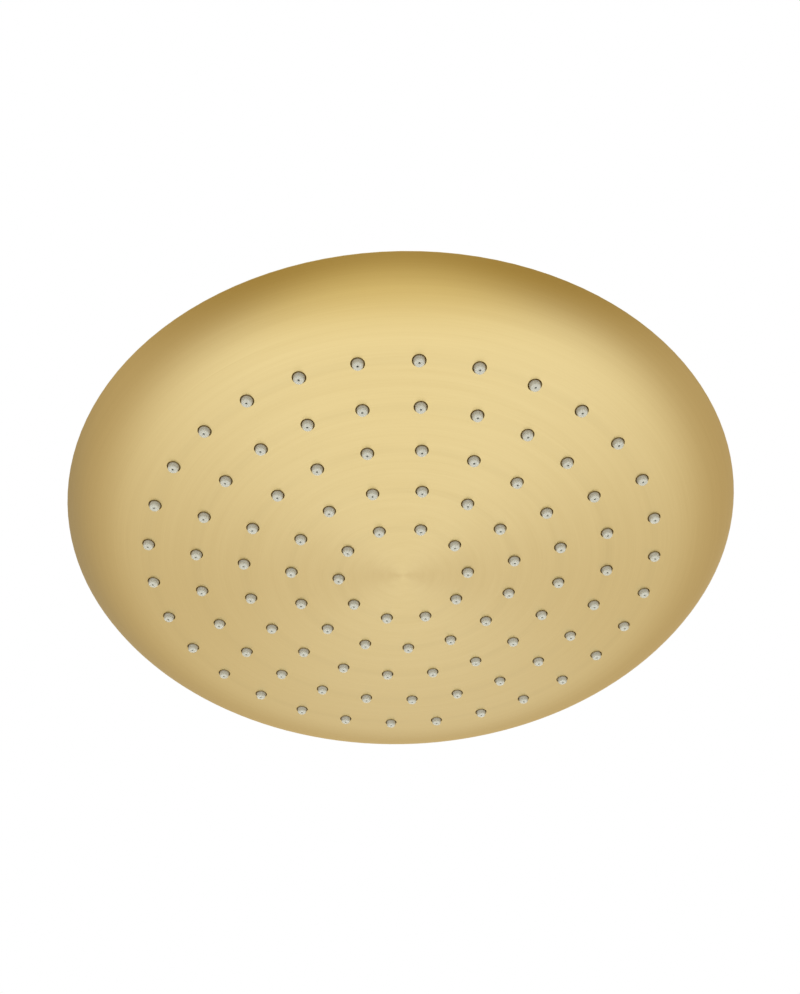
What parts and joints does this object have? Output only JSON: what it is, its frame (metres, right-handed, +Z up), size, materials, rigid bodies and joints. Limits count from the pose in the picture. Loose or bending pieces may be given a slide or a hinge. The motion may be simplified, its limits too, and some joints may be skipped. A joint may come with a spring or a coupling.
{
  "type": "rain shower head",
  "caption": "Round domed rain shower head in brushed gold with rings of pale soft nozzles, on a ball joint with a female half-inch inlet.",
  "frame": {"origin": "on the inlet's axis, at the shoulder in the inlet thread where the end of the supply pipe stops", "axes": "+Z up along the inlet's axis, out of its mouth, so the head sprays along -Z; -Y is the line that the nozzle rings are set out from"},
  "size_m": [0.25, 0.25, 0.0724],
  "materials": {
    "brushed_gold": "brushed round the axis",
    "turned_gold": "turned and brushed",
    "gold_screw": "satin",
    "plain_brass": "as turned",
    "screen_steel": "plain",
    "silicone": "soft matte",
    "black_rubber": "matte",
    "moulded_plastic": "moulded",
    "nylon": "moulded"
  },
  "bodies": {
    "inlet": {"swivel_ball": "turned_gold", "inlet_washer": "black_rubber", "filter_screen": "screen_steel", "regulator_body": "nylon", "regulator_ring": "black_rubber", "regulator_cap": "nylon"},
    "ring": {"slip_ring": "nylon"},
    "head": {"face_shell": "brushed_gold", "nozzle_mat": "silicone", "spray_plate": "moulded_plastic", "chamber_seal": "black_rubber", "back_cover": "brushed_gold", "cover_screws": "gold_screw", "swivel_hub": "turned_gold", "hub_gasket": "black_rubber", "hub_washer": "black_rubber", "hub_lock_nut": "plain_brass", "ball_seal": "black_rubber", "collar_nut": "turned_gold"}
  },
  "joints": [
    {"name": "head_tilt", "type": "hinge", "parent": "inlet", "child": "ring", "pos_m": [0, 0, -0.02428], "axis": [1, 0, 0], "range_deg": [-15, 15]},
    {"name": "head_spin", "type": "hinge", "parent": "ring", "child": "head", "pos_m": [0, 0, -0.02428], "axis": [0, 0, 1], "continuous": true}
  ]
}
